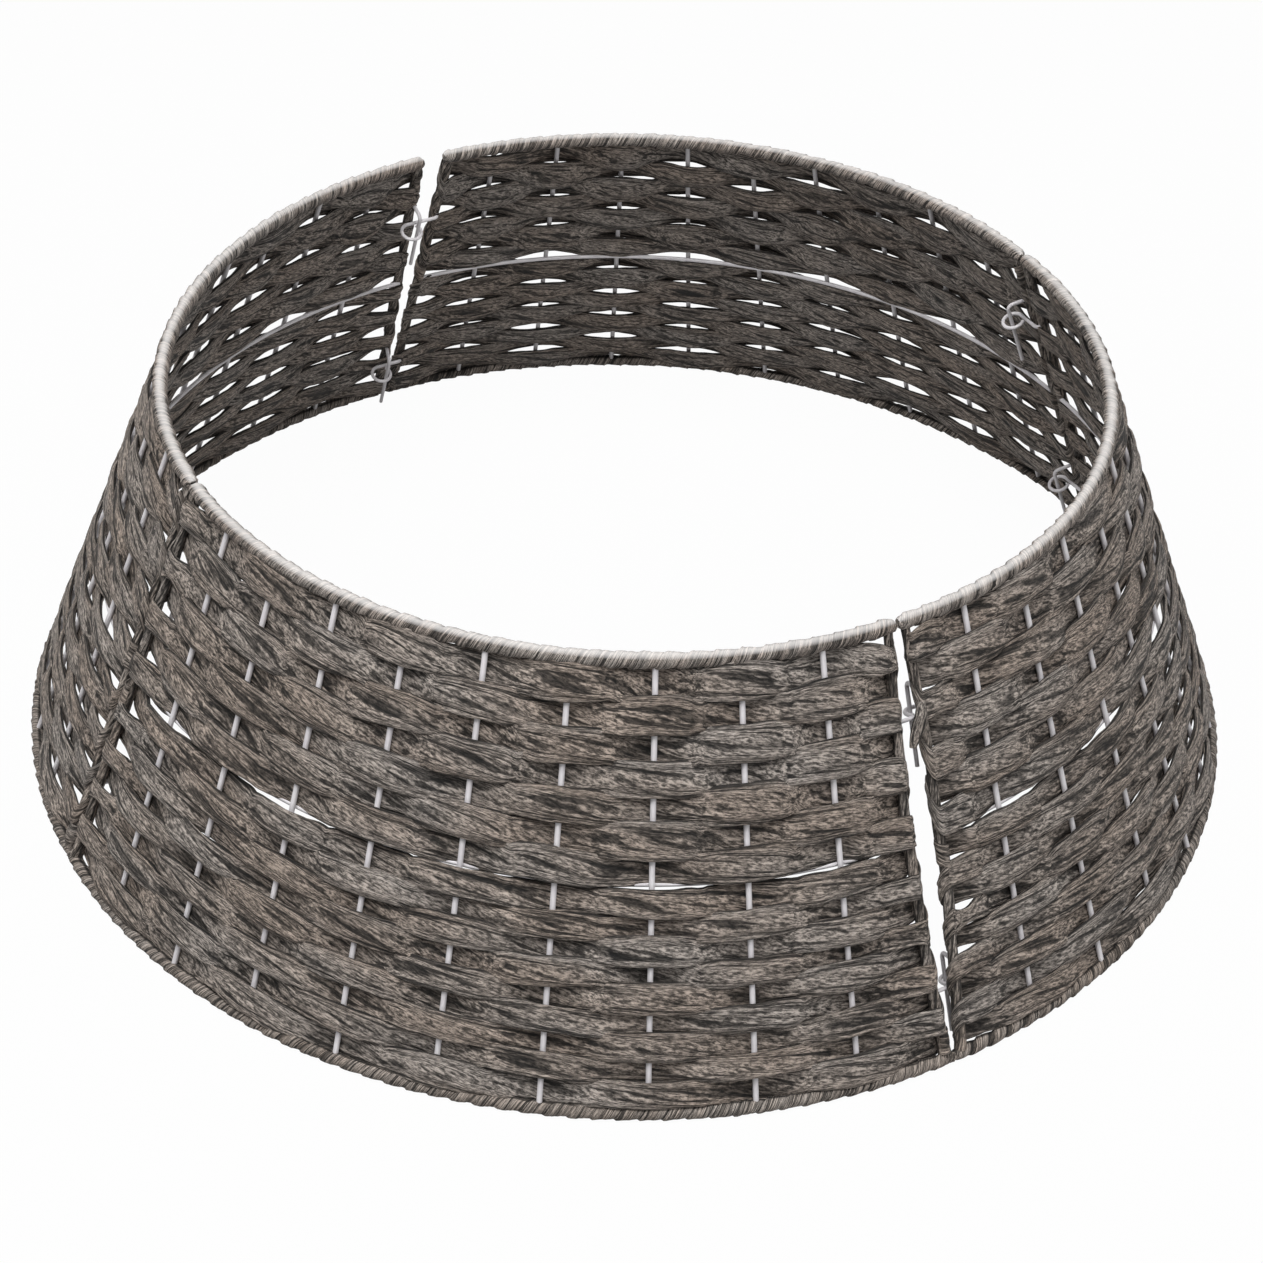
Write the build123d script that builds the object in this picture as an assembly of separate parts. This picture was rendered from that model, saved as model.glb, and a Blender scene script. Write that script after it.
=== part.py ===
from build123d import *
from math import acos, asin, atan2, cos, degrees, hypot, radians, sin
import os

# A round tree collar of four woven quarter panels.
# All lengths are in millimetres and all angles in degrees.
# The origin is the centre of the foot circle on the floor, with +Z up.

# Size of the cone, measured on the hoops at the centre of the wire
foot_hoop_radius = 351.0
top_hoop_radius = 261.0
hoop_rise = 220.5

# Wires
frame_wire_radius = 1.5
stake_radius = 1.5
mid_wire_radius = 1.25
eye_wire_radius = 1.1
pin_radius = 1.15
weld_bite = 0.15

# Strand
rim_binding_radius = 4.0
side_binding_radius = 3.5
strand_thickness = 3.2
foot_flat_depth = 0.5

# Gaps
strand_gap = 0.35
bore_gap = 0.05
hole_gap = 0.15
corner_gap = 2.2
neighbour_gap = 0.3

# Weave
stake_count = 9
upper_row_count = 7
lower_row_count = 9
mid_wire_share = 0.49

# Drop-in corner fasteners: an eye on one panel takes the pin of the next
eye_bore_radius = 5.1
eye_reach = 12.0
eye_shares = {"upper": 0.22, "lower": 0.85}
eye_bend = 2.5
pin_bend = 3.5
pin_rise = 16.0
pin_drop = 30.0
open_hook_sweep = 105.0

# Panels in order round the ring, from the seam that is left open
panel_names = ("front", "right", "back", "left")
open_seam = -150.0
quarter = 360 / len(panel_names)
panel_start = {name: open_seam + quarter * place for place, name in enumerate(panel_names)}

# How far the two side wires at a seam lean away from it, beyond the corner gap
closed_seam = (0.0, 0.0, 0.0)
front_slit_bow = 4.5
back_slit_top = 6.0
back_slit_middle = 3.0
seam_spread = {
    panel_start["front"]: closed_seam,
    panel_start["right"]: (0.0, front_slit_bow, 0.0),
    panel_start["back"]: closed_seam,
    panel_start["left"]: (back_slit_top, back_slit_middle, 0.0),
}

# Values worked out from the sizes above
slope_run = foot_hoop_radius - top_hoop_radius
slant = hypot(slope_run, hoop_rise)
slope_cos = slope_run / slant
slope_sin = hoop_rise / slant
foot_hoop_height = rim_binding_radius - foot_flat_depth
corner_offset = side_binding_radius + corner_gap / 2
eye_radius = eye_bore_radius + eye_wire_radius
stem_depth = side_binding_radius + neighbour_gap + eye_wire_radius
eye_depth = stem_depth + eye_radius
pin_play = eye_bore_radius - pin_radius - neighbour_gap
stake_pitch = quarter / (stake_count + 1)
wave_height = (stake_radius + neighbour_gap + strand_thickness / 2) / slope_sin
strand_half = strand_thickness / 2 / slope_sin


def wall_radius(share):
    """Radius of the wall's middle at a share of the slant below the top hoop."""
    return top_hoop_radius + slope_run * share


def wall_height(share):
    return foot_hoop_height + hoop_rise * (1 - share)


def share_at(height):
    return 1 - (height - foot_hoop_height) / hoop_rise


def ring_point(angle, radius, height):
    return Vector(radius * cos(radians(angle)), radius * sin(radians(angle)), height)


def wall_point(angle, share):
    return ring_point(angle, wall_radius(share), wall_height(share))


def seam_axes(seam):
    """Unit vectors at a seam: along the ring, out of the wall, and up the slant."""
    radial = Vector(cos(radians(seam)), sin(radians(seam)), 0)
    along = Vector(-sin(radians(seam)), cos(radians(seam)), 0)
    up = Vector(0, 0, 1)
    outward = radial * slope_sin + up * slope_cos
    upslant = up * slope_sin - radial * slope_cos
    return along, outward, upslant


def seam_point(seam, share, shift, depth, climb=0):
    """A point near a seam: shifted along the ring, sunk inside the wall, and moved up the slant."""
    along, outward, upslant = seam_axes(seam)
    return wall_point(seam, share) + along * shift - outward * depth + upslant * climb


def side_offset(seam, share):
    """Distance from a seam to the side wire beside it."""
    top, middle, foot = seam_spread[seam]
    straight = top * (1 - share) + foot * share
    bow = (middle - (top + foot) / 2) * 4 * share * (1 - share)
    return corner_offset + straight + bow


def side_angle(seam, direction, share, extra=0):
    """Plan angle of a side wire, on the low (-1) or high (+1) side of its seam."""
    reach = side_offset(seam, share) + extra
    return seam + direction * degrees(asin(reach / wall_radius(share)))


def rod(start, end, radius):
    line = end - start
    return Plane(origin=start, z_dir=line) * Cylinder(
        radius, line.length, align=(Align.CENTER, Align.CENTER, Align.MIN)
    )


def ring_section(radius, bore):
    """A round section, or a hollow one where it is bound round a wire."""
    return Circle(radius) - Circle(bore) if bore else Circle(radius)


def hoop(radius, height, low_angle, high_angle, wire, bore=0):
    section = Plane.XZ * Pos(radius, height) * ring_section(wire, bore)
    solid = revolve(section, axis=Axis.Z, revolution_arc=high_angle - low_angle)
    return Rot(0, 0, low_angle) * solid


def panel_seams(name):
    """Start and end seam of a panel, each with the side on which the panel lies."""
    following = panel_names[(panel_names.index(name) + 1) % len(panel_names)]
    return (panel_start[name], 1), (panel_start[following], -1)


def panel_span(name, share, extra=0):
    """Plan angles of the panel's two side wires, rising from low to high."""
    (start, low_side), (end, high_side) = panel_seams(name)
    low = side_angle(start, low_side, share, extra)
    high = side_angle(end, high_side, share, extra)
    if high < low:
        high += 360
    return low, high


def side_path(seam, direction, margin):
    """Line or arc of a side wire, cut short by an equal share at each end."""
    points = [wall_point(side_angle(seam, direction, share), share) for share in (0, 0.5, 1)]
    top, middle, foot = seam_spread[seam]
    if middle == (top + foot) / 2:
        whole = Line(points[0], points[2])
        return Line(whole @ margin, whole @ (1 - margin))
    whole = ThreePointArc(*points)
    return ThreePointArc(whole @ margin, whole @ 0.5, whole @ (1 - margin))


def bent_wire(path, radius, bore=0):
    return sweep(Plane(origin=path @ 0, z_dir=path % 0) * ring_section(radius, bore), path=path)


def side_rod(seam, direction, end_distance, radius, bore=0):
    """A side wire or its binding, ending at a distance short of the middle of each hoop."""
    return bent_wire(side_path(seam, direction, end_distance / slant), radius, bore)


def frame_wires(name):
    """The panel's edge: two hoops, with the two side wires butt-welded between them."""
    wires = []
    for share in (0.0, 1.0):
        low, high = panel_span(name, share, frame_wire_radius)
        wires.append(hoop(wall_radius(share), wall_height(share), low, high, frame_wire_radius))
    reach = frame_wire_radius + bore_gap
    wires += [side_rod(seam, direction, reach, frame_wire_radius) for seam, direction in panel_seams(name)]
    return wires


def stake_angles(name):
    return [panel_start[name] + stake_pitch * (number + 1) for number in range(stake_count)]


def stakes(name, grow=0):
    radius = stake_radius + grow
    return [rod(wall_point(angle, 1.0), wall_point(angle, 0.0), radius) for angle in stake_angles(name)]


def mid_wire(name, grow=0):
    """Wire welded across the inner side of the stakes, from one side wire to the other."""
    inset = (stake_radius + mid_wire_radius - weld_bite) / slope_sin
    low, high = panel_span(name, mid_wire_share)
    radius = wall_radius(mid_wire_share) - inset
    return hoop(radius, wall_height(mid_wire_share), low, high, mid_wire_radius + grow)


def row_edge(name, height, side, row):
    """One long edge of a strand: an arc past each stake, from one side binding to the other."""
    share = share_at(height)
    radius = wall_radius(share)
    low, high = panel_span(name, share, side_binding_radius + neighbour_gap)
    angles = stake_angles(name)
    breaks = [low] + [(a + b) / 2 for a, b in zip(angles, angles[1:])] + [high]
    face = side * strand_half
    arcs = []
    for number, angle in enumerate(angles):
        swing = -wave_height if (number + row) % 2 == 0 else wave_height
        start = ring_point(breaks[number], radius + face, height)
        peak = ring_point(angle, radius + face + swing, height)
        end = ring_point(breaks[number + 1], radius + face, height)
        arcs.append(ThreePointArc(start, peak, end))
    return arcs


def strand_row(name, low_height, high_height, row):
    """One strand of the weave, in front of every second stake and behind the others."""
    sections = []
    for height in (low_height, high_height):
        outer = row_edge(name, height, 1, row)
        inner = row_edge(name, height, -1, row)
        caps = [Line(outer[0] @ 0, inner[0] @ 0), Line(outer[-1] @ 1, inner[-1] @ 1)]
        sections.append(Face(Wire(outer + inner + caps)))
    return loft(sections, ruled=True)


def strand_rows(name, top_height, foot_height, count, first_row):
    pitch = (top_height - foot_height) / count
    rows = []
    for number in range(count):
        high = top_height - pitch * number
        low = high - pitch + strand_gap
        rows.append(strand_row(name, low, high, first_row + number))
    return rows


def upper_rows(name):
    top = wall_height(0.0) - (rim_binding_radius + strand_gap) / slope_sin
    foot = wall_height(mid_wire_share) + mid_wire_radius
    return strand_rows(name, top, foot, upper_row_count, 0)


def lower_rows(name):
    top = wall_height(mid_wire_share) - mid_wire_radius - strand_gap
    foot = wall_height(1.0) + rim_binding_radius / slope_sin
    return strand_rows(name, top, foot, lower_row_count, upper_row_count)


def ring_turn(seam, share, reach, first, last):
    """Arc about an eye's centre, in degrees from straight out of the wall, turning inward."""
    middle = (first + last) / 2
    places = [(sin(radians(turn)), cos(radians(turn))) for turn in (first, middle, last)]
    points = [
        seam_point(seam, share, reach + eye_radius * along, eye_depth - eye_radius * out)
        for along, out in places
    ]
    return ThreePointArc(*points)


def eye_shift(seam, share):
    """How far an eye's centre stands past its seam. At the open seam it is a hook by its own wire."""
    return eye_radius - side_offset(seam, share) if seam == open_seam else eye_reach


def eye(seam, share, grow=0):
    """Wire eye: a stem out of the side wire, past the neighbour's edge, and a ring."""
    wire = eye_wire_radius + grow
    reach = eye_shift(seam, share)
    root = wall_point(side_angle(seam, -1, share), share)
    if seam == open_seam:
        side = seam_point(seam, share, reach - eye_radius, eye_depth)
        hook = ring_turn(seam, share, reach, -quarter, -quarter - open_hook_sweep)
        return bent_wire(Wire([Line(root, side), hook]), wire)
    elbow = seam_point(seam, share, -side_offset(seam, share), stem_depth)
    tip = seam_point(seam, share, reach, stem_depth)
    closing = degrees(acos(1 - (2 * eye_wire_radius + bore_gap) / eye_radius))
    stem = FilletPolyline(root, elbow, tip, radius=eye_bend)
    turns = [ring_turn(seam, share, reach, 0, 180)]
    turns.append(ring_turn(seam, share, reach, 180, 360 - closing))
    return bent_wire(Wire([*stem.edges(), *turns]), wire)


def pin_place(seam, share):
    """Place of the pin's axis: in the eye, at the end of its play where the seam is closed."""
    if seam == open_seam:
        return eye_shift(seam, share), eye_depth
    arm = hypot(eye_reach, eye_depth)
    half_swing = 2 * degrees(asin(pin_play / (2 * arm)))
    bearing = degrees(atan2(eye_depth, eye_reach)) + half_swing
    return arm * cos(radians(bearing)), arm * sin(radians(bearing))


def swing_limit():
    """Outward swing at a seam before the pin meets the far side of its eye."""
    return 4 * degrees(asin(pin_play / (2 * hypot(eye_reach, eye_depth))))


def pin(seam, share, grow=0):
    """L-shaped pin: a drop leg through the eye, and a bent top welded to the side wire."""
    shift, depth = pin_place(seam, share)
    top = seam_point(seam, share, shift, depth, pin_rise)
    foot = seam_point(seam, share, shift, depth, -pin_drop)
    root_share = share - pin_rise / slant
    root = wall_point(side_angle(seam, 1, root_share), root_share)
    return bent_wire(FilletPolyline(root, top, foot, radius=pin_bend), pin_radius + grow)


def rim_binding(name, share):
    """Strand bound round a hoop, from corner to corner, as one tube with holes for the wires."""
    bore = frame_wire_radius + bore_gap
    low, high = panel_span(name, share, side_binding_radius)
    tube = hoop(wall_radius(share), wall_height(share), low, high, rim_binding_radius, bore)
    if share == 1.0:
        room = 3 * foot_hoop_radius
        tube &= Box(room, room, room, align=(Align.CENTER, Align.CENTER, Align.MIN))
    holes = stakes(name, hole_gap)
    holes += [side_rod(seam, direction, 0, frame_wire_radius + hole_gap) for seam, direction in panel_seams(name)]
    return tube - holes


def side_binding(name, seam, direction):
    """Strand bound round a side wire between the two rims."""
    bore = frame_wire_radius + bore_gap
    tube = side_rod(seam, direction, rim_binding_radius + bore_gap, side_binding_radius, bore)
    fastener = pin if direction == 1 else eye
    holes = [fastener(seam, share, hole_gap) for share in eye_shares.values()]
    return tube - [mid_wire(name, hole_gap)] - holes


def panel_nodes(name):
    (start, low_side), (end, high_side) = panel_seams(name)
    nodes = {
        "frame": Compound(children=frame_wires(name)),
        "stakes": Compound(children=stakes(name)),
        "mid_wire": mid_wire(name),
        "upper_weave": Compound(children=upper_rows(name)),
        "lower_weave": Compound(children=lower_rows(name)),
        "top_binding": rim_binding(name, 0.0),
        "foot_binding": rim_binding(name, 1.0),
        "pin_side_binding": side_binding(name, start, low_side),
        "eye_side_binding": side_binding(name, end, high_side),
    }
    for level, share in eye_shares.items():
        nodes[level + "_pin"] = pin(start, share)
        nodes[level + "_eye"] = eye(end, share)
    return nodes


os.makedirs("parts", exist_ok=True)
for panel in panel_start:
    for node, shape in panel_nodes(panel).items():
        export_step(shape, f"parts/{panel}_panel_{node}.step")

print("outward swing limit in degrees:", round(swing_limit(), 2))
for seam in seam_spread:
    along, outward, upslant = seam_axes(seam)
    print("seam", seam, "middle", wall_point(seam, 0.5), "axis", upslant)
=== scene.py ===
from math import cos, pi, radians, sin

import bmesh
import bpy
import numpy as np
from mathutils import Matrix, Vector


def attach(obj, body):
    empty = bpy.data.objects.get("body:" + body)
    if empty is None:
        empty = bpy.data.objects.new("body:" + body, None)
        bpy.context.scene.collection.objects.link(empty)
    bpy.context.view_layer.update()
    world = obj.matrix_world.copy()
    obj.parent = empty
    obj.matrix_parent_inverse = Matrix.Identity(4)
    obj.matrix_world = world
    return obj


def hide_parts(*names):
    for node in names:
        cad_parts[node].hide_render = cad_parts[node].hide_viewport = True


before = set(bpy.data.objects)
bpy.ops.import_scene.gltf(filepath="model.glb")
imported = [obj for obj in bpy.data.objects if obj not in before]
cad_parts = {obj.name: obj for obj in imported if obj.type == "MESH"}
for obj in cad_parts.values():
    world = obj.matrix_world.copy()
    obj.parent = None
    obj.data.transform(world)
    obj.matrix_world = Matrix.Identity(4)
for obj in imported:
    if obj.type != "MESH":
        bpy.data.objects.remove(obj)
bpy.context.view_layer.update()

bl_info = {
    "name": "Woven tree collar finish",
    "version": (1, 0, 0),
    "blender": (4, 5, 0),
    "location": "3D View > Sidebar > Tree Collar",
    "description": "Weaves and binds the paper strand of a four-panel tree collar over its wire frame",
    "category": "Object",
}

# The frame's sizes, in metres and degrees, as the part's source has them
MM = 0.001
FOOT_RADIUS = 351.0 * MM
TOP_RADIUS = 261.0 * MM
RISE = 220.5 * MM
FOOT_HEIGHT = 3.5 * MM
RIM_BINDING_RADIUS = 4.0 * MM
CORNER_OFFSET = 4.6 * MM
STAKE_RADIUS = 1.5 * MM
MID_WIRE_RADIUS = 1.25 * MM
MID_WIRE_SHARE = 0.49
STAKE_PITCH = 9.0
STAKE_COUNT = 9
UPPER_ROWS = 7
LOWER_ROWS = 9
LAST_ROW = UPPER_ROWS + LOWER_ROWS - 1
PANEL_START = {"front": -150.0, "right": -60.0, "back": 30.0, "left": 120.0}
NEXT_PANEL = {"front": "right", "right": "back", "back": "left", "left": "front"}

SLOPE_RUN = FOOT_RADIUS - TOP_RADIUS
SLANT = float(np.hypot(SLOPE_RUN, RISE))
SLOPE_COS = SLOPE_RUN / SLANT
SLOPE_SIN = RISE / SLANT

# The next three tables go by seam, and a seam has the name of the panel that starts there

# How far the side wires lean away from the seam at the top, middle and foot
SEAM_SPREAD = {
    "front": (0.0, 0.0, 0.0),
    "right": (0.0, 4.5 * MM, 0.0),
    "back": (0.0, 0.0, 0.0),
    "left": (6.0 * MM, 3.0 * MM, 0.0),
}

# How far the turning strand stands off the side wires, top and foot, as a share of its reach
SIDE_STAND = {"front": (0.5, 0.7), "right": (0.25, 0.78), "back": (0.74, 0.74), "left": (0.74, 0.74)}

# Radius of the winding under those turns, top and foot
SIDE_WINDING = {"front": (1.9 * MM, 2.2 * MM), "right": (1.8 * MM, 2.4 * MM),
                "back": (2.5 * MM, 2.5 * MM), "left": (2.5 * MM, 2.5 * MM)}

# Stretch of the slant over which both change from the top value to the foot value
SIDE_CHANGE = (0, 0.6)

# Room between the rows and the rim's winding or the girth wire, and between the strand and a stake
WIRE_ROOM = 0.35 * MM
STAKE_ROOM = 0.15 * MM

# How far the two rows beside the girth wire stay back from it outside a stake, and how that changes
# inside one, as shares of the clearance. Below 0 a row reaches over the wire.
SLOT_BACK = {UPPER_ROWS - 1: (-0.8, 1.15), UPPER_ROWS: (-1.4, -0.6)}

# Random spread of the strand at a row's two ends, as shares of its spread round a side wire
LOW_END_SPREAD = (0.84, 1.1)
HIGH_END_SPREAD = (1.0, 1.2)

# Most that the strand draws in beside a side wire, how much less that is at the high end, and the
# hole under the corner of the rim
SIDE_DRAW = 8 * MM
HIGH_END_EASE = 3 * MM
CORNER_HOLE = 5.5 * MM

# Random rise and fall of a row, and how far the top and foot rows are pushed towards the rims
ROW_WANDER = 1.0 * MM
TOP_ROW_LIFT = 1.0 * MM
FOOT_ROW_DROP = 0.8 * MM

# Thickness of the strand between two stakes, as a share of that over one, how far it leans there in
# radians, and the share of its thickness that it loses round a side wire
BAY_THICKNESS = 2.1
BAY_TILT = 0.30
SIDE_THINNING = 0.25

# How a length of strand ends: it goes further round the side wire and hardly to the next row
END_TURN = {"sweep": 250, "drop": 0.25}

# How far a rim's winding runs past the side wires, in degrees
RIM_OVERHANG = 0.8

# Length of cord from which each piece takes its stretch of paper, in metres
CORD_LENGTH = 40

# Folds of the strand per metre: about 60 mm long and 4.5 mm apart
FOLD_SCALE = (16, 220, 220)

# Points round the strand's section, and the depth of its folds and of its dents as shares of the set ones
SECTIONS = {"wall": (38, 1.0, 1.0), "rim": (24, 0.3, 0.4), "side": (18, 0.3, 0.5), "tail": (24, 0.25, 0.3)}

# Power of the side lamps, as shares of the fill power
RIGHT_FILL = 1.3
LEFT_FILL = 1.6

# What each point of a strand's path carries, as vectors and as plain values
PATH_VECTORS = ("across", "outward")
PATH_VALUES = ("half_width", "half_depth", "travel", "twist")


def linear_colour(hex_code):
    """An sRGB hex colour as linear red, green and blue."""
    values = [int(hex_code[place:place + 2], 16) / 255 for place in (1, 3, 5)]
    return tuple(v / 12.92 if v <= 0.04045 else ((v + 0.055) / 1.055) ** 2.4 for v in values)


def add_node(tree, kind, links=None, **settings):
    """One node with its settings; links maps each input to a node's first output, a socket or a value."""
    node = tree.nodes.new(kind)
    for name, value in settings.items():
        setattr(node, name, value)
    for name, value in (links or {}).items():
        socket = node.inputs[name]
        if isinstance(value, bpy.types.Node):
            value = value.outputs[0]
        if isinstance(value, bpy.types.NodeSocket):
            tree.links.new(value, socket)
        else:
            socket.default_value = value
    return node


# Places on the wall

def wall_radius(share):
    return TOP_RADIUS + SLOPE_RUN * share


def wall_height(share):
    return FOOT_HEIGHT + RISE * (1 - share)


def share_at(height):
    return 1 - (height - FOOT_HEIGHT) / RISE


def wall_frame(angle):
    """Along the ring, out of the wall and up the slant, at each angle in degrees."""
    turn = np.radians(np.asarray(angle, float))
    radial = np.stack([np.cos(turn), np.sin(turn), np.zeros_like(turn)], -1)
    along = np.stack([-np.sin(turn), np.cos(turn), np.zeros_like(turn)], -1)
    up = np.zeros_like(radial)
    up[..., 2] = 1.0
    outward = radial * SLOPE_SIN + up * SLOPE_COS
    upslant = up * SLOPE_SIN - radial * SLOPE_COS
    return along, outward, upslant


def wall_points(angle, share):
    turn = np.radians(np.asarray(angle, float))
    radius = wall_radius(np.asarray(share, float))
    height = wall_height(np.asarray(share, float))
    return np.stack([radius * np.cos(turn), radius * np.sin(turn), height + 0 * turn], -1)


def side_angle(panel, direction, share):
    """Angle of a side wire: the panel's low one (1) or its high one (-1)."""
    seam = panel if direction == 1 else NEXT_PANEL[panel]
    top, middle, foot = SEAM_SPREAD[seam]
    bow = (middle - (top + foot) / 2) * 4 * share * (1 - share)
    offset = CORNER_OFFSET + top * (1 - share) + foot * share + bow
    turn = np.degrees(np.arcsin(offset / wall_radius(share)))
    return PANEL_START[panel] + (0 if direction == 1 else 90) + direction * turn


def seam_value(table, panel, direction, share):
    """A seam's value at each share of the slant, from a table of top and foot values."""
    return np.interp(share, SIDE_CHANGE, table[panel if direction == 1 else NEXT_PANEL[panel]])


def smooth_noise(count, spacing, rng):
    """A smooth random run between -1 and 1, with a new value every so many points."""
    knots = rng.uniform(-1, 1, int(count / spacing) + 4)
    place = np.arange(count) / spacing
    low = place.astype(int)
    blend = place - low
    blend = blend * blend * (3 - 2 * blend)
    return knots[low] * (1 - blend) + knots[low + 1] * blend


# Finishes

def paper_cord(name, grey_tone, brown_tone, highlight_colour, margin_shade, highlight_share):
    """Crinkled kraft paper cord, dyed grey-brown and pressed flat: dull, streaked along its length."""
    if name in bpy.data.materials:
        return bpy.data.materials[name]
    material = bpy.data.materials.new(name)
    material.use_nodes = True
    tree = material.node_tree
    tree.nodes.clear()
    place = add_node(tree, "ShaderNodeAttribute", attribute_name="strand_place")
    # Per metre of paper: flecks of the crinkle, about 4 mm long and 0.6 mm wide; the long folds, the same
    # ones that the shape has; fine lines, about 40 mm long and 1.8 mm apart; and uneven dye over 120 mm
    grain = {}
    for key, scale, detail, roughness, distortion in (
            ("fleck", (260, 1550, 1550), 3.0, 0.66, 0.2),
            ("fold", FOLD_SCALE, 1.0, 0.5, 0.25),
            ("line", (26, 560, 560), 1.0, 0.5, 0.3),
            ("dye", (8, 30, 30), 1.0, 0.5, 0.0)):
        scaled = add_node(tree, "ShaderNodeVectorMath", {0: place.outputs["Vector"], 1: scale},
                          operation="MULTIPLY")
        grain[key] = add_node(tree, "ShaderNodeTexNoise",
                              {"Vector": scaled, "Scale": 1.0, "Detail": detail,
                               "Roughness": roughness, "Distortion": distortion})
    dyed = add_node(tree, "ShaderNodeValToRGB", {"Fac": grain["dye"]})
    for stop, position, tone in zip(dyed.color_ramp.elements, (0.36, 0.64), (brown_tone, grey_tone)):
        stop.position = position
        stop.color = (*tone, 1)
    flecks = add_node(tree, "ShaderNodeValToRGB", {"Fac": grain["fleck"]})
    flecks.color_ramp.elements.new(0.5)
    for stop, position, grey in zip(flecks.color_ramp.elements, (0.4, 0.5, 0.62), (0.12, 0.42, 0.96)):
        stop.position = position
        stop.color = (grey, grey, grey, 1)
    # Painted shade darkens the valleys of the folds and of the fine lines and the margins, where they tuck
    # under the next row; a painted highlight pales the side that faces up; and the flecks' tops are less
    # dull
    margin = add_node(tree, "ShaderNodeAttribute", attribute_name="strand_margin")
    top = add_node(tree, "ShaderNodeAttribute", attribute_name="strand_top")
    painted_light_and_roughness = {}
    for key, value, (low, high), (first, last) in (
            ("crease", grain["fold"], (0.33, 0.40), (0.26, 1.0)),
            ("line_shade", grain["line"], (0.37, 0.48), (0.14, 1.0)),
            ("edge_shade", margin.outputs["Fac"], (0.86, 0.985), (1.0, margin_shade)),
            ("painted_highlight", top.outputs["Fac"], (0.62, 1.0), (0.0, highlight_share)),
            ("dullness", grain["fleck"], (0.0, 1.0), (0.92, 0.7))):
        painted_light_and_roughness[key] = add_node(tree, "ShaderNodeMapRange", {"Value": value, "From Min": low, "From Max": high,
                                                          "To Min": first, "To Max": last})
    shade = add_node(tree, "ShaderNodeMath", {0: painted_light_and_roughness["crease"], 1: painted_light_and_roughness["line_shade"]}, operation="MULTIPLY")
    # The flecks, the painted shade of the creases and margins, and the painted highlight on the upper side,
    # each laid over the dye
    colour = dyed
    for blend, factor, layer in (("OVERLAY", 1.0, flecks), ("MULTIPLY", 1.0, shade),
                                 ("MULTIPLY", 1.0, painted_light_and_roughness["edge_shade"]), ("MIX", painted_light_and_roughness["painted_highlight"], (*highlight_colour, 1))):
        mixed = add_node(tree, "ShaderNodeMix", {"Factor": factor, 6: colour, 7: layer},
                         data_type="RGBA", blend_type=blend)
        colour = mixed.outputs[2]
    lined = add_node(tree, "ShaderNodeBump", {"Height": grain["line"], "Strength": 0.6,
                                              "Distance": 1.2 * MM})
    bump = add_node(tree, "ShaderNodeBump", {"Height": grain["fleck"], "Strength": 0.6,
                                             "Distance": 0.9 * MM, "Normal": lined})
    shader = add_node(tree, "ShaderNodeBsdfPrincipled",
                      {"Base Color": colour, "Roughness": painted_light_and_roughness["dullness"], "Normal": bump,
                       "IOR": 1.45, "Specular IOR Level": 0.35})
    add_node(tree, "ShaderNodeOutputMaterial", {"Surface": shader})
    return material


def crinkled_paper_cord(tones):
    """The cord of the walls, sides and foot, unhighlighted: painted shade makes its margins nearly black."""
    return paper_cord("crinkled_paper_cord", tones.grey_tone, tones.brown_tone, tones.painted_highlight_tone,
                      margin_shade=0.1, highlight_share=0.0)


def highlighted_paper_cord(tones):
    """The cord of the top rim, paler all over, with a painted highlight where it faces up and no margin
    shade.
    """
    return paper_cord("highlighted_paper_cord", tones.rim_grey_tone, tones.rim_brown_tone, tones.painted_highlight_tone,
                      margin_shade=1.0, highlight_share=0.5)


def powder_coated_steel_wire(tones):
    """Mild steel wire, powder coated light grey: smooth and even, with a faint orange-peel surface."""
    material = bpy.data.materials.new("powder_coated_steel_wire")
    material.use_nodes = True
    tree = material.node_tree
    tree.nodes.clear()
    place = add_node(tree, "ShaderNodeTexCoord")
    # Cloudy thickness of the coat over about 8 mm
    cloud = add_node(tree, "ShaderNodeTexNoise", {"Vector": place.outputs["Object"], "Scale": 120.0,
                                                  "Detail": 2.0})
    coat = add_node(tree, "ShaderNodeValToRGB", {"Fac": cloud})
    shades = (tones.wire_shade, tones.wire_tone)
    for stop, position, tone in zip(coat.color_ramp.elements, (0.3, 0.7), shades):
        stop.position = position
        stop.color = (*tone, 1)
    # Orange peel about 0.7 mm across
    peel = add_node(tree, "ShaderNodeTexNoise", {"Vector": place.outputs["Object"], "Scale": 1400.0,
                                                 "Detail": 1.0})
    bump = add_node(tree, "ShaderNodeBump", {"Height": peel, "Strength": 0.25, "Distance": 0.05 * MM})
    rough = add_node(tree, "ShaderNodeMapRange", {"Value": cloud, "To Min": 0.34, "To Max": 0.5})
    shader = add_node(tree, "ShaderNodeBsdfPrincipled",
                      {"Base Color": coat, "Roughness": rough, "Normal": bump})
    add_node(tree, "ShaderNodeOutputMaterial", {"Surface": shader})
    return material


# Sweeping a strand along its path

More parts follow.
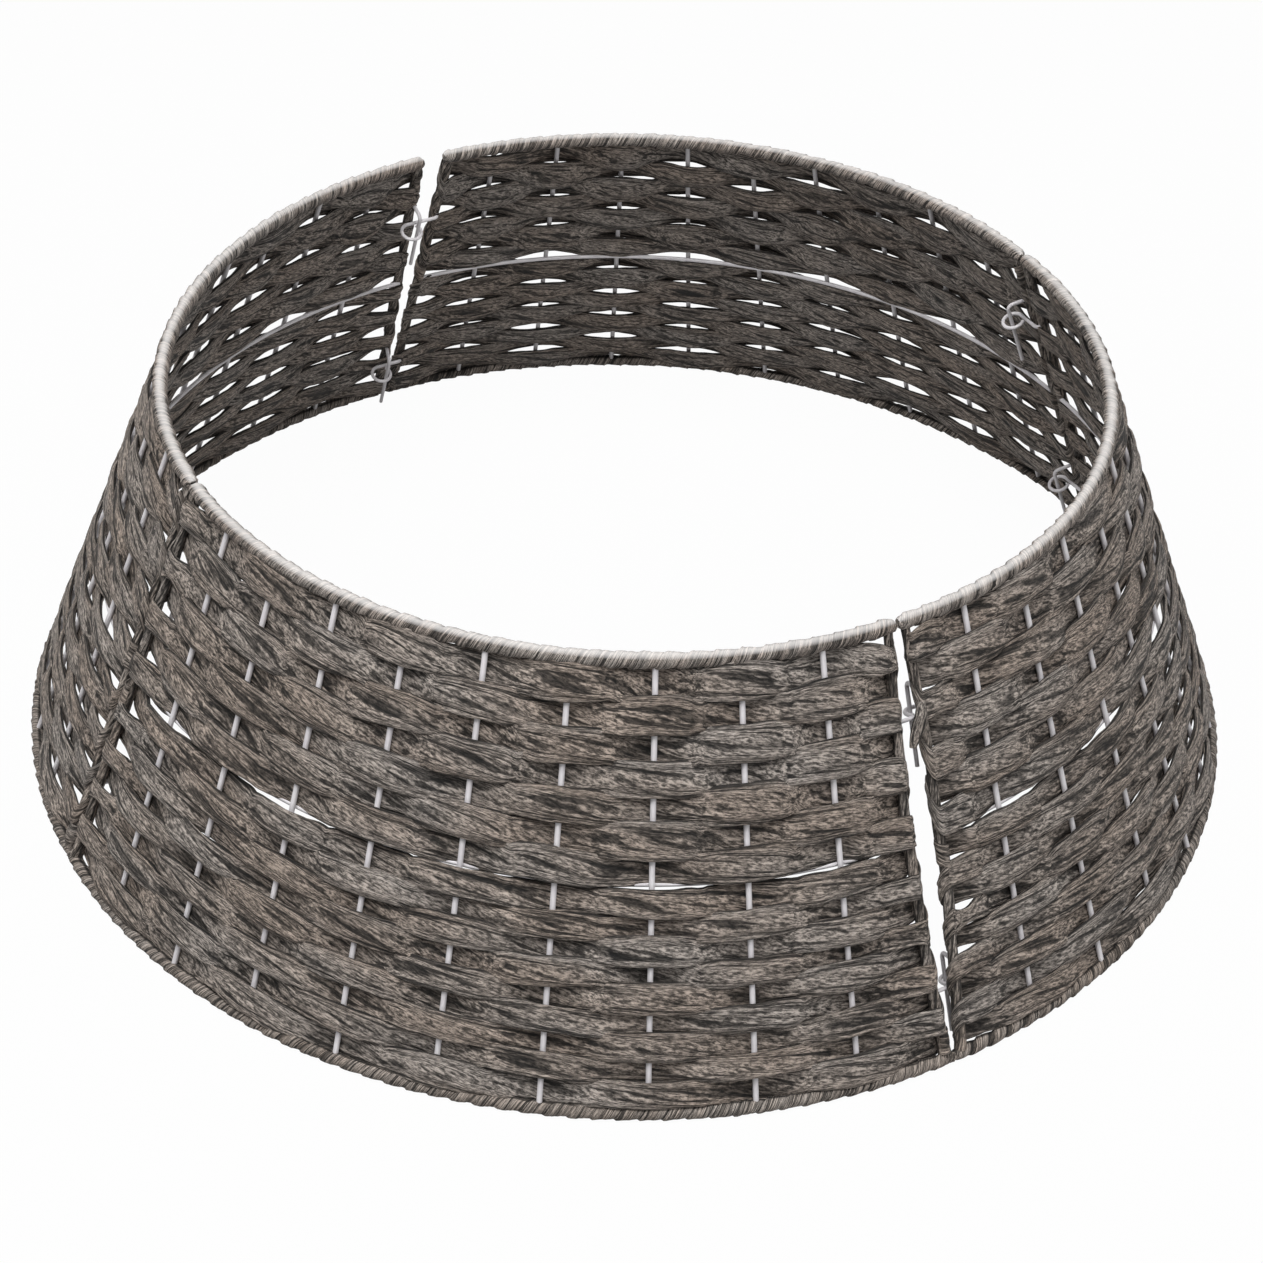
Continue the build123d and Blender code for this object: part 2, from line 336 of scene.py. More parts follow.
def strand_tree():
    """Geometry nodes that lay a flat, crumpled strand along the edge path of a mesh."""
    tree = bpy.data.node_groups.new("Lay crumpled strand", "GeometryNodeTree")
    for name, kind in (("Geometry", "Geometry"), ("Section Points", "Int"), ("Fold Depth", "Float"),
                       ("Crumple Depth", "Float"), ("Lap Depth", "Float"), ("Fullness", "Float"),
                       ("Seed", "Int"), ("Finish", "Material")):
        tree.interface.new_socket(name, in_out="INPUT", socket_type="NodeSocket" + kind)
    tree.interface.new_socket("Geometry", in_out="OUTPUT", socket_type="NodeSocketGeometry")
    given = add_node(tree, "NodeGroupInput")
    curve = add_node(tree, "GeometryNodeMeshToCurve", {"Mesh": given.outputs["Geometry"]})
    position = add_node(tree, "GeometryNodeInputPosition")
    rail = add_node(tree, "GeometryNodeStoreNamedAttribute",
                    {"Geometry": curve, "Name": "centre", "Value": position},
                    data_type="FLOAT_VECTOR", domain="POINT")
    circle = add_node(tree, "GeometryNodeCurvePrimitiveCircle",
                      {"Resolution": given.outputs["Section Points"], "Radius": MM})
    index = add_node(tree, "GeometryNodeInputIndex")
    part = add_node(tree, "ShaderNodeMath", {0: index, 1: given.outputs["Section Points"]},
                    operation="DIVIDE")
    angle = add_node(tree, "ShaderNodeMath", {0: part, 1: 2 * pi}, operation="MULTIPLY")
    section = add_node(tree, "GeometryNodeStoreNamedAttribute",
                       {"Geometry": circle, "Name": "turn", "Value": angle},
                       data_type="FLOAT", domain="POINT")
    tube = add_node(tree, "GeometryNodeCurveToMesh",
                    {"Curve": rail, "Profile Curve": section, "Fill Caps": True})
    read = {}
    for kind, names in (("FLOAT_VECTOR", ("centre", *PATH_VECTORS)), ("FLOAT", (*PATH_VALUES, "turn"))):
        for name in names:
            node = add_node(tree, "GeometryNodeInputNamedAttribute", {"Name": name}, data_type=kind)
            read[name] = node.outputs["Attribute"]
    sine = add_node(tree, "ShaderNodeMath", {0: read["turn"]}, operation="SINE")
    cosine = add_node(tree, "ShaderNodeMath", {0: read["turn"]}, operation="COSINE")
    # The paper's own coordinates turn round the section with the cord's twist or winding
    turned = add_node(tree, "ShaderNodeMath", {0: read["turn"], 1: read["twist"]}, operation="ADD")
    paper = {}
    for axis, wave in (("Y", "SINE"), ("Z", "COSINE")):
        share = add_node(tree, "ShaderNodeMath", {0: turned}, operation=wave)
        paper[axis] = add_node(tree, "ShaderNodeMath", {0: share, 1: read["half_width"]},
                               operation="MULTIPLY")
    seed_step = add_node(tree, "ShaderNodeMath", {0: given.outputs["Seed"], 1: 0.37}, operation="MULTIPLY")
    along = add_node(tree, "ShaderNodeMath", {0: read["travel"], 1: seed_step}, operation="ADD")
    place = add_node(tree, "ShaderNodeCombineXYZ", {"X": along, "Y": paper["Y"], "Z": paper["Z"]})
    # How near each place is to the section's margins, where the finish paints shade
    margin = add_node(tree, "ShaderNodeMath", {0: sine, 1: 2.0}, operation="POWER")
    # How far each place of the section faces up, where the finish paints a highlight
    height = {}
    for key, wave in (("outward", cosine), ("across", sine)):
        parts = add_node(tree, "ShaderNodeSeparateXYZ", {0: read[key]})
        height[key] = add_node(tree, "ShaderNodeMath", {0: parts.outputs["Z"], 1: wave},
                               operation="MULTIPLY")
    facing_up = add_node(tree, "ShaderNodeMath",
                         {0: height["outward"], 1: height["across"]}, operation="ADD")
    # The finish reads these three
    tagged = tube
    for name, kind, value in (("strand_place", "FLOAT_VECTOR", place), ("strand_margin", "FLOAT", margin),
                              ("strand_top", "FLOAT", facing_up)):
        tagged = add_node(tree, "GeometryNodeStoreNamedAttribute",
                          {"Geometry": tagged, "Name": name, "Value": value},
                          data_type=kind, domain="POINT")
    # The folds run along the paper, in its coordinates, and softer dents lie between them
    pushes = []
    for scale, detail, distortion, depth in ((FOLD_SCALE, 1.0, 0.25, "Fold Depth"),
                                             ((90, 140, 140), 0.0, 0.0, "Crumple Depth")):
        scaled = add_node(tree, "ShaderNodeVectorMath", {0: place, 1: scale}, operation="MULTIPLY")
        noise = add_node(tree, "ShaderNodeTexNoise", {"Vector": scaled, "Scale": 1.0, "Detail": detail,
                                                      "Roughness": 0.5, "Distortion": distortion})
        middle = add_node(tree, "ShaderNodeMath", {0: noise, 1: 0.5}, operation="SUBTRACT")
        pushes.append(add_node(tree, "ShaderNodeMath", {0: middle, 1: given.outputs[depth]},
                               operation="MULTIPLY"))
    creased = add_node(tree, "ShaderNodeMath", {0: pushes[0], 1: pushes[1]}, operation="ADD")
    # Each turn of a winding rises over the one before it
    turns = add_node(tree, "ShaderNodeMath", {0: turned, 1: 2 * pi}, operation="DIVIDE")
    part_turn = add_node(tree, "ShaderNodeMath", {0: turns}, operation="FRACT")
    lap = add_node(tree, "ShaderNodeMath", {0: part_turn, 1: given.outputs["Lap Depth"]},
                   operation="MULTIPLY")
    push = add_node(tree, "ShaderNodeMath", {0: creased, 1: lap}, operation="ADD")
    # From the centre out to a section fuller than an ellipse, as a pressed cord has, and to its folds
    reached = read["centre"]
    for way, wave, half in (("outward", cosine, "half_depth"), ("across", sine, "half_width")):
        size = add_node(tree, "ShaderNodeMath", {0: wave}, operation="ABSOLUTE")
        grown = add_node(tree, "ShaderNodeMath", {0: size, 1: given.outputs["Fullness"]}, operation="POWER")
        sign = add_node(tree, "ShaderNodeMath", {0: wave}, operation="SIGN")
        full = add_node(tree, "ShaderNodeMath", {0: grown, 1: sign}, operation="MULTIPLY")
        plain_step = add_node(tree, "ShaderNodeMath", {0: full, 1: read[half]}, operation="MULTIPLY")
        push_step = add_node(tree, "ShaderNodeMath", {0: push, 1: wave}, operation="MULTIPLY")
        length = add_node(tree, "ShaderNodeMath", {0: plain_step, 1: push_step}, operation="ADD")
        step = add_node(tree, "ShaderNodeVectorMath", {0: read[way], "Scale": length}, operation="SCALE")
        reached = add_node(tree, "ShaderNodeVectorMath", {0: reached, 1: step}, operation="ADD")
    moved = add_node(tree, "GeometryNodeSetPosition", {"Geometry": tagged, "Position": reached})
    smooth = add_node(tree, "GeometryNodeSetShadeSmooth", {"Geometry": moved})
    whole = add_node(tree, "GeometryNodeRealizeInstances", {"Geometry": smooth})
    dressed = add_node(tree, "GeometryNodeSetMaterial",
                       {"Geometry": whole, "Material": given.outputs["Finish"]})
    add_node(tree, "NodeGroupOutput", {0: dressed})
    return tree


def lay_strand(name, kind, rail, settings, seed, finish):
    """A plain mesh of the strand laid along its rail, at the origin. On rims and sides it is wound."""
    section_points, fold_share, crumple_share = SECTIONS[kind]
    wound = kind in ("rim", "side")
    inputs = {"Section Points": section_points, "Fold Depth": settings.fold_depth * fold_share,
              "Crumple Depth": settings.crumple_depth * crumple_share,
              "Lap Depth": settings.winding_lap if wound else 0.0,
              "Fullness": 1.0 if wound else settings.fullness, "Seed": seed, "Finish": finish}
    tree = bpy.data.node_groups.get("Lay crumpled strand") or strand_tree()
    edges = [(step, step + 1) for step in range(len(rail["points"]) - 1)]
    path = bpy.data.meshes.new(name + "_path")
    path.from_pydata(rail["points"].tolist(), edges, [])
    for key in PATH_VECTORS:
        path.attributes.new(key, "FLOAT_VECTOR", "POINT").data.foreach_set("vector", rail[key].ravel())
    for key in PATH_VALUES:
        path.attributes.new(key, "FLOAT", "POINT").data.foreach_set("value", rail[key])
    holder = bpy.data.objects.new(name + "_holder", path)
    bpy.context.scene.collection.objects.link(holder)
    modifier = holder.modifiers.new("Lay strand", "NODES")
    modifier.node_group = tree
    for socket in tree.interface.items_tree:
        if socket.name in inputs:
            modifier[socket.identifier] = inputs[socket.name]
    bpy.context.view_layer.update()
    evaluated = holder.evaluated_get(bpy.context.evaluated_depsgraph_get())
    mesh = bpy.data.meshes.new_from_object(evaluated)
    bpy.data.objects.remove(holder)
    bpy.data.meshes.remove(path)
    mesh.name = name
    for spare in ("centre", *PATH_VECTORS, *PATH_VALUES, "turn"):
        if spare in mesh.attributes:
            mesh.attributes.remove(mesh.attributes[spare])
    shell = bmesh.new()
    shell.from_mesh(mesh)
    bmesh.ops.recalc_face_normals(shell, faces=shell.faces)
    shell.to_mesh(mesh)
    shell.free()
    piece = bpy.data.objects.new(name, mesh)
    bpy.context.scene.collection.objects.link(piece)
    return piece


def rail_of(points, across, outward, half_width, half_depth, rng, lay_length):
    """A path with its sections; the paper turns once round it in every lay length."""
    steps = np.linalg.norm(np.diff(points, axis=0), axis=1)
    length = np.concatenate([[0.0], np.cumsum(steps)])
    return {"points": points, "across": across, "outward": outward, "half_width": half_width,
            "half_depth": half_depth, "travel": rng.uniform(0, CORD_LENGTH) + length,
            "twist": 2 * pi * length / lay_length}


# Weaving

def row_share(row):
    """Share of the slant at the middle of a row, counted from the top."""
    if row < UPPER_ROWS:
        top = wall_height(0) - (RIM_BINDING_RADIUS + WIRE_ROOM) / SLOPE_SIN
        foot = wall_height(MID_WIRE_SHARE) + MID_WIRE_RADIUS
        height = top - (top - foot) * (row + 0.5) / UPPER_ROWS
    else:
        top = wall_height(MID_WIRE_SHARE) - MID_WIRE_RADIUS - WIRE_ROOM
        foot = wall_height(1) + RIM_BINDING_RADIUS / SLOPE_SIN
        height = top - (top - foot) * (row - UPPER_ROWS + 0.5) / LOWER_ROWS
    return share_at(height)


def row_pitch(row):
    """Height of a row along the slant, the same for all rows of a level."""
    upper = 0 if row < UPPER_ROWS else UPPER_ROWS + 1
    return (row_share(upper + 1) - row_share(upper)) * SLANT


def slot_beside_wire(row, width, pitch, phase, inside, clearance):
    """The width of a row whose edge stays back to show the girth wire, and its shift up the slant."""
    back, change = SLOT_BACK[row]
    wire_half = np.minimum(width / 2, pitch / 2 - (back + change * inside) * clearance)
    parted = np.clip(2 * np.minimum(phase + 1, STAKE_COUNT - phase) - 1, 0, 1)
    wire_half = width / 2 + (wire_half - width / 2) * parted
    shift = (width / 2 - wire_half) / 2 * (1 if row < UPPER_ROWS else -1)
    return width / 2 + wire_half, shift


def woven_pass(panel, row, settings, rng):
    """One pass of the strand over and under the stakes, from the low side wire to the high one."""
    share = row_share(row)
    low = side_angle(panel, 1, share)
    high = side_angle(panel, -1, share)
    length = radians(high - low) * wall_radius(share)
    count = int(length / settings.path_step)
    angle = np.linspace(low, high, count)
    # The phase is a whole number at each stake, -1 at the low side wire and STAKE_COUNT at the high one
    stakes = [PANEL_START[panel] + STAKE_PITCH * (number + 1) for number in range(STAKE_COUNT)]
    phase = np.interp(angle, [low, *stakes, high], np.arange(-1, STAKE_COUNT + 1))
    swing = np.cos(pi * phase) * (-1) ** (row + 1)
    inside = (1 - swing) / 2
    spread = np.abs(np.cos(pi * phase)) ** 0.6
    edge = np.clip(np.maximum(-phase, phase - (STAKE_COUNT - 1)), 0, 1)
    per_bay = STAKE_PITCH / (high - low) * count
    reach = STAKE_RADIUS + settings.strand_thickness / 2 + STAKE_ROOM
    depth = swing * (reach + (settings.side_reach - reach) * edge)
    # Widest over a stake and drawn together in the bays, which leaves holes beside the stakes
    pitch = row_pitch(row)
    inner_change = settings.inner_spread + settings.inner_variation * smooth_noise(count, per_bay * 1.4, rng)
    wider = 1 + 0.1 * smooth_noise(count, per_bay, rng) + inner_change * inside
    full = pitch * settings.stake_spread * wider
    tight = pitch * settings.bay_spread
    width = tight + (full - tight) * spread
    off_wire = 0.0
    if row in SLOT_BACK:
        width, off_wire = slot_beside_wire(row, width, pitch, phase, inside, settings.wire_clearance)
    gathered = edge ** 12
    ends = np.where(phase < 0, rng.uniform(*LOW_END_SPREAD), rng.uniform(*HIGH_END_SPREAD))
    width = width * (1 - gathered) + settings.side_spread * ends * pitch * gathered
    # Small holes where the strand draws in just before it turns round a side wire
    draw_rng = np.random.default_rng(settings.seed + 1000 + 50 * row + int(low) % 360)
    low_draw, high_draw = draw_rng.uniform(0, SIDE_DRAW, 2)
    drawn = np.clip(np.where(phase < 0, low_draw, high_draw - HIGH_END_EASE), 0, None)
    width = width - drawn * np.sin(pi * np.clip((edge - 0.3) / 0.7, 0, 1) ** 2)
    # The top row leaves a larger hole under the corner of the rim
    corner = CORNER_HOLE * edge ** 1.6 * (phase > 0) * (row == 0)
    width = width - corner
    climb = ROW_WANDER * smooth_noise(count, per_bay * 0.7, rng) + settings.outer_lift * swing
    if row == 0:
        climb = climb + TOP_ROW_LIFT
    if row == LAST_ROW:
        climb = climb - FOOT_ROW_DROP
    climb = (climb + off_wire) * (1 - edge ** 3)
    climb = climb - corner / 2
    _, outward, upslant = wall_frame(angle)
    tilt = BAY_TILT * smooth_noise(count, per_bay * 0.5, rng) * (1 - spread)
    points = wall_points(angle, share) + outward * depth[:, None] + upslant * climb[:, None]
    across = upslant * np.cos(tilt)[:, None] + outward * np.sin(tilt)[:, None]
    facing = outward * np.cos(tilt)[:, None] - upslant * np.sin(tilt)[:, None]
    thicker = BAY_THICKNESS - (BAY_THICKNESS - 1) * spread
    thick = settings.strand_thickness * thicker * (1 - SIDE_THINNING * edge)
    return points, across, facing, width / 2, thick / 2


def side_turn(panel, direction, row, side, settings, sweep=180, drop=1.0):
    """The strand's turn round a side wire, from one row towards the next."""
    count = 15
    turn = np.radians(np.linspace(0, sweep, count + 2)[1:-1])
    blend = (1 - np.cos(np.linspace(0, pi, count + 2)[1:-1])) / 2 * drop
    share = row_share(row) + (row_share(min(row + 1, LAST_ROW)) - row_share(row)) * blend
    angle = np.array([side_angle(panel, direction, place) for place in share])
    along, outward, upslant = wall_frame(angle)
    away = -direction * along
    reach = settings.side_reach
    stand = seam_value(SIDE_STAND, panel, direction, share)
    points = wall_points(angle, share)
    points = points + outward * (side * reach * np.cos(turn))[:, None]
    points = points + away * (stand * reach * np.sin(turn))[:, None]
    facing = (outward * (side * np.cos(turn))[:, None] + away * np.sin(turn)[:, None]) * side
    width = np.full(count, settings.side_spread * row_pitch(row))
    thick = np.full(count, settings.strand_thickness * (1 - SIDE_THINNING))
    return points, upslant, facing, width / 2, thick / 2


def serpentine(panel, first, last, settings, rng):
    """One length of strand woven back and forth, turning round the side wires."""
    start = side_turn(panel, 1, first, (-1) ** first, settings, **END_TURN)
    runs = [[values[::-1] for values in start]]
    facing_sign = 1.0
    for row in range(first, last + 1):
        backward = (row - first) % 2 == 1
        run = woven_pass(panel, row, settings, rng)
        side = (-1) ** row if backward else (-1) ** (row + 1 + STAKE_COUNT)
        direction = 1 if backward else -1
        ending = END_TURN if row == last else {}
        turn = side_turn(panel, direction, row, side, settings, **ending)
        if backward:
            run = [values[::-1] for values in run]
        for points, across, facing, width, thick in (run, turn):
            runs.append([points, across, facing * facing_sign, width, thick])
        facing_sign = -facing_sign
    joined = [np.concatenate([run[place] for run in runs]) for place in range(len(start))]
    return rail_of(*joined, rng, settings.lay_length)


# Winding

def rim_rail(panel, share, settings, rng):
    """The path of a rim's winding, from corner to corner along the hoop."""
    low = side_angle(panel, 1, share)
    high = side_angle(panel, -1, share)
    length = radians(high - low) * wall_radius(share)
    angle = np.linspace(low - RIM_OVERHANG, high + RIM_OVERHANG, int(length / settings.winding_step))
    _, outward, upslant = wall_frame(angle)
    radius = (RIM_BINDING_RADIUS if share == 0 else FOOT_HEIGHT) - settings.winding_lap / 2
    radius = radius * (1 + 0.05 * smooth_noise(len(angle), 14, rng))
    # The first and last turns close over the ends of the hoop
    end = np.minimum(np.arange(len(angle)), np.arange(len(angle))[::-1])
    radius = radius * (1 - 0.5 * np.exp(-end / 1.2))
    return rail_of(wall_points(angle, share), upslant, outward, radius, radius, rng, -settings.winding_pitch)


def side_rail(panel, direction, settings, rng):
    """The path of a side wire's winding, from the top rim to the foot."""
    margin = 0.5 * RIM_BINDING_RADIUS / SLANT
    share = np.linspace(margin, 1 - margin, int(SLANT / settings.winding_step))
    angle = np.array([side_angle(panel, direction, place) for place in share])
    along, outward, _ = wall_frame(angle)
    # The lowest fifth is wound more thickly
    thicker = 0.3 * np.clip(share * 5 - 4, 0, 1)
    radius = seam_value(SIDE_WINDING, panel, direction, share)
    radius = radius * (1 + 0.08 * smooth_noise(len(share), 9, rng) + thicker)
    return rail_of(wall_points(angle, share), along, outward, radius, radius, rng, settings.side_pitch)


def tail_rail(settings, rng):
    """The strand's loose end, which hangs over the front seam from the right panel."""
    part = np.linspace(0, 1, 30)
    # From the edge of the right panel down and across the slit
    share = 0.175 + 0.095 * part
    angle = PANEL_START["right"] + 1.15 - 1.5 * part ** 1.2
    outward = wall_frame(angle)[1]
    lift = np.interp(part, (0, 0.3, 1), (4.4, 5.2, 3.2)) * MM
    points = wall_points(angle, share) + outward * lift[:, None]
    tangent = np.gradient(points, axis=0)
    tangent = tangent / np.linalg.norm(tangent, axis=1)[:, None]
    across = np.cross(outward, tangent)
    width = 8.5 * MM * np.sin(pi * (0.1 + 0.82 * part)) ** 0.6
    thick = np.full(len(part), 1.5 * MM)
    return rail_of(points, across, outward, width / 2, thick / 2, rng, settings.lay_length)


# Stage

def clear_rays(tree):
    """A node that gives 1 for rays from the camera, a mirror or glass, and 0 for all others."""
    path = add_node(tree, "ShaderNodeLightPath")
    seen = add_node(tree, "ShaderNodeMath", {0: path.outputs["Is Camera Ray"],
                                             1: path.outputs["Is Glossy Ray"]}, operation="MAXIMUM")
    return add_node(tree, "ShaderNodeMath", {0: seen, 1: path.outputs["Is Transmission Ray"]},
                    operation="MAXIMUM")


def white_backdrop_paper():
    """Matt white paper, brightly lit: nearly pure white to the eye, though it throws little light back."""
    paper = bpy.data.materials.new("white_backdrop_paper")
    paper.use_nodes = True
    tree = paper.node_tree
    tree.nodes.clear()
    matt = add_node(tree, "ShaderNodeBsdfDiffuse", {"Color": (0.45, 0.45, 0.45, 1)})
    glow = add_node(tree, "ShaderNodeEmission", {"Color": (1, 1, 1, 1), "Strength": 1.0})
    part = add_node(tree, "ShaderNodeMath", {0: clear_rays(tree), 1: 0.97}, operation="MULTIPLY")
    surface = add_node(tree, "ShaderNodeMixShader", {0: part, 1: matt, 2: glow})
    add_node(tree, "ShaderNodeOutputMaterial", {"Surface": surface})
    return paper


def soft_studio():
    """A world that is white to the eye and gives only a faint light."""
    world = bpy.data.worlds.new("soft_studio")
    world.use_nodes = True
    tree = world.node_tree
    tree.nodes.clear()
    ambient = add_node(tree, "ShaderNodeBackground", {"Color": (1, 1, 1, 1), "Strength": 0.16})
    white = add_node(tree, "ShaderNodeBackground", {"Color": (1, 1, 1, 1), "Strength": 1.0})
    sky = add_node(tree, "ShaderNodeMixShader", {0: clear_rays(tree), 1: ambient, 2: white})
    add_node(tree, "ShaderNodeOutputWorld", {"Surface": sky})
    return world


def hang_lamps(scene, settings):
    """One large lamp above and two smaller ones at the sides, all turned to the collar."""
    lamps = (
        ("key_lamp", (-0.15, -0.6, 2.5), 1.5, settings.key_power),
        ("right_fill_lamp", (2.0, -1.1, 1.3), 1.2, settings.fill_power * RIGHT_FILL),
        ("left_fill_lamp", (-1.4, -0.7, 2.2), 1.2, settings.fill_power * LEFT_FILL),
    )
    aim = Vector((0, 0, 0.1))
    for name, place, size, power in lamps:
        light = bpy.data.lights.new(name, "AREA")
        light.size = size
        light.energy = power
        lamp = bpy.data.objects.new(name, light)
        scene.collection.objects.link(lamp)
        lamp.location = place
        lamp.rotation_euler = (aim - Vector(place)).to_track_quat("-Z", "Y").to_euler()


def set_camera(scene, settings):
    """The camera on its arc before the collar, rolled a little about its line of sight."""
    data = bpy.data.cameras.new("camera")
    data.lens = 74.5
    data.sensor_width = 36
    data.shift_x = 0.0041
    data.shift_y = 0.0357
    camera = bpy.data.objects.new("camera", data)
    scene.collection.objects.link(camera)
    height = settings.camera_height
    roll = settings.camera_roll
    right = Vector((1, 0, 0))
    back = Vector((0, -cos(height), sin(height)))
    up = Vector((0, sin(height), cos(height)))
    turned_right = right * cos(roll) + up * sin(roll)
    turned_up = up * cos(roll) - right * sin(roll)
    place = back * settings.camera_distance
    camera.matrix_world = Matrix((
        (turned_right.x, turned_up.x, back.x, place.x),
        (turned_right.y, turned_up.y, back.y, place.y),
        (turned_right.z, turned_up.z, back.z, place.z),
        (0, 0, 0, 1),
    ))
    scene.camera = camera


# Sizes and colours that a user would change

class CollarStrandSettings(bpy.types.PropertyGroup):
    """Sizes of the strand, as woven and as wound"""

    stake_spread: bpy.props.FloatProperty(
        name="Spread at a stake", description="Width of the strand over a stake, as a share of its row",
        default=1.27, min=0.8, max=1.9, subtype="FACTOR")
    inner_spread: bpy.props.FloatProperty(
        name="Inner spread", description="How much wider the strand is where it passes inside a stake",
        default=0.2, min=-0.3, max=0.5, subtype="FACTOR")
    inner_variation: bpy.props.FloatProperty(
        name="Inner variation", description="Random change of the strand's width inside the stakes",
        default=0.24, min=0.0, max=0.5, subtype="FACTOR")
    bay_spread: bpy.props.FloatProperty(
        name="Spread in a bay", description="Width of the strand between two stakes, as a share of its row",
        default=1.07, min=0.6, max=1.5, subtype="FACTOR")
    strand_thickness: bpy.props.FloatProperty(
        name="Strand thickness", description="Thickness of the flattened strand",
        default=2.3 * MM, min=1 * MM, max=6 * MM, subtype="DISTANCE", unit="LENGTH")
    fold_depth: bpy.props.FloatProperty(
        name="Fold depth", description="Depth of the long folds in the strand",
        default=3.2 * MM, min=0.0, max=5 * MM, subtype="DISTANCE", unit="LENGTH")
    crumple_depth: bpy.props.FloatProperty(
        name="Crumple depth", description="Depth of the softer dents in the strand",
        default=1.4 * MM, min=0.0, max=4 * MM, subtype="DISTANCE", unit="LENGTH")
    side_reach: bpy.props.FloatProperty(
        name="Side reach", description="Distance from a side wire to the strand that turns round it",
        default=3.7 * MM, min=3 * MM, max=6 * MM, subtype="DISTANCE", unit="LENGTH")
    side_spread: bpy.props.FloatProperty(
        name="Spread at the sides",
        description="Width of the strand round a side wire, as a share of its row",
        default=1.04, min=0.4, max=1.2, subtype="FACTOR")
    path_step: bpy.props.FloatProperty(
        name="Path step", description="Distance between sections along a woven strand",
        default=2.8 * MM, min=1 * MM, max=8 * MM, subtype="DISTANCE", unit="LENGTH")
    fullness: bpy.props.FloatProperty(
        name="Section power", description="Below 1 the strand's section is fuller than an ellipse",
        default=0.62, min=0.4, max=1.5, subtype="FACTOR")
    outer_lift: bpy.props.FloatProperty(
        name="Outer lift", description="How far the strand is pushed up where it passes outside a stake",
        default=1.0 * MM, min=0.0, max=3 * MM, subtype="DISTANCE", unit="LENGTH")
    wire_clearance: bpy.props.FloatProperty(
        name="Girth wire clearance", description="How far each row beside the girth wire stays back from it",
        default=1.0 * MM, min=0.0, max=4 * MM, subtype="DISTANCE", unit="LENGTH")
    lay_length: bpy.props.FloatProperty(
        name="Lay length", description="Length in which the folds turn once round the strand",
        default=460 * MM, min=40 * MM, max=2.0, subtype="DISTANCE", unit="LENGTH")
    winding_pitch: bpy.props.FloatProperty(
        name="Winding pitch", description="Advance of one turn round a rim",
        default=12 * MM, min=6 * MM, max=40 * MM, subtype="DISTANCE", unit="LENGTH")
    side_pitch: bpy.props.FloatProperty(
        name="Side pitch", description="Advance of one turn round a side wire",
        default=90 * MM, min=6 * MM, max=300 * MM, subtype="DISTANCE", unit="LENGTH")
    winding_lap: bpy.props.FloatProperty(
        name="Winding lap", description="Step where one turn of a winding lies over the last",
        default=0.9 * MM, min=0.0, max=3 * MM, subtype="DISTANCE", unit="LENGTH")
    winding_step: bpy.props.FloatProperty(
        name="Winding step", description="Distance between sections along a winding",
        default=1.3 * MM, min=0.5 * MM, max=5 * MM, subtype="DISTANCE", unit="LENGTH")
    seed: bpy.props.IntProperty(
        name="Seed", description="Fixes every random crease of the strand", default=7, min=0)


class CollarFinishSettings(bpy.types.PropertyGroup):
    """Colours of the strand and of the wires"""

    grey_tone: bpy.props.FloatVectorProperty(
        name="Grey tone", description="The greyer dye of the strand", subtype="COLOR", size=3,
        default=linear_colour("#857e78"), min=0, max=1)
    brown_tone: bpy.props.FloatVectorProperty(
        name="Brown tone", description="The browner dye of the strand", subtype="COLOR", size=3,
        default=linear_colour("#80756c"), min=0, max=1)
    rim_grey_tone: bpy.props.FloatVectorProperty(
        name="Rim grey tone", description="The greyer dye of the paler winding on the rims", subtype="COLOR",
        size=3, default=linear_colour("#928b85"), min=0, max=1)
    rim_brown_tone: bpy.props.FloatVectorProperty(
        name="Rim brown tone", description="The browner dye of the paler winding on the rims",
        subtype="COLOR", size=3, default=linear_colour("#897e76"), min=0, max=1)
    # Colour of the painted highlight on the rims' upper side, which stands in for light from above
    painted_highlight_tone: bpy.props.FloatVectorProperty(
        name="Rubbed tone", description="The rims' upper side, where the dye is rubbed and bleached",
        subtype="COLOR", size=3, default=linear_colour("#f2efed"), min=0, max=1)
    wire_tone: bpy.props.FloatVectorProperty(
        name="Wire tone", description="Powder coat of the wires", subtype="COLOR", size=3,
        default=linear_colour("#dbd8da"), min=0, max=1)
    wire_shade: bpy.props.FloatVectorProperty(
        name="Wire shade", description="Thinner places of the wires' powder coat", subtype="COLOR", size=3,
        default=linear_colour("#c9c5c8"), min=0, max=1)


class CollarStageSettings(bpy.types.PropertyGroup):
    """Size of the floor, power of the lamps and place of the camera"""

    floor_reach: bpy.props.FloatProperty(
        name="Floor reach", description="Half the side of the floor",
        default=6.0, min=1.0, subtype="DISTANCE", unit="LENGTH")
    key_power: bpy.props.FloatProperty(
        name="Key lamp", description="Power of the large lamp above", default=73.0, min=0.0,
        subtype="POWER", unit="POWER")
    fill_power: bpy.props.FloatProperty(
        name="Fill lamps",
        description="Power at the sides; the right lamp has 1.3 and the left 1.6 times this",
        default=9.0, min=0.0, subtype="POWER", unit="POWER")
    camera_height: bpy.props.FloatProperty(
        name="Camera elevation", description="Elevation of the camera seen from the foot's centre",
        default=radians(39.305), subtype="ANGLE", unit="ROTATION")
    camera_distance: bpy.props.FloatProperty(
        name="Camera distance", description="Distance of the camera from the foot's centre",
        default=1.589, min=0.5, subtype="DISTANCE", unit="LENGTH")
    camera_roll: bpy.props.FloatProperty(
        name="Camera roll", description="Turn of the camera about its line of sight",
        default=radians(1.944), subtype="ANGLE", unit="ROTATION")


# Operators

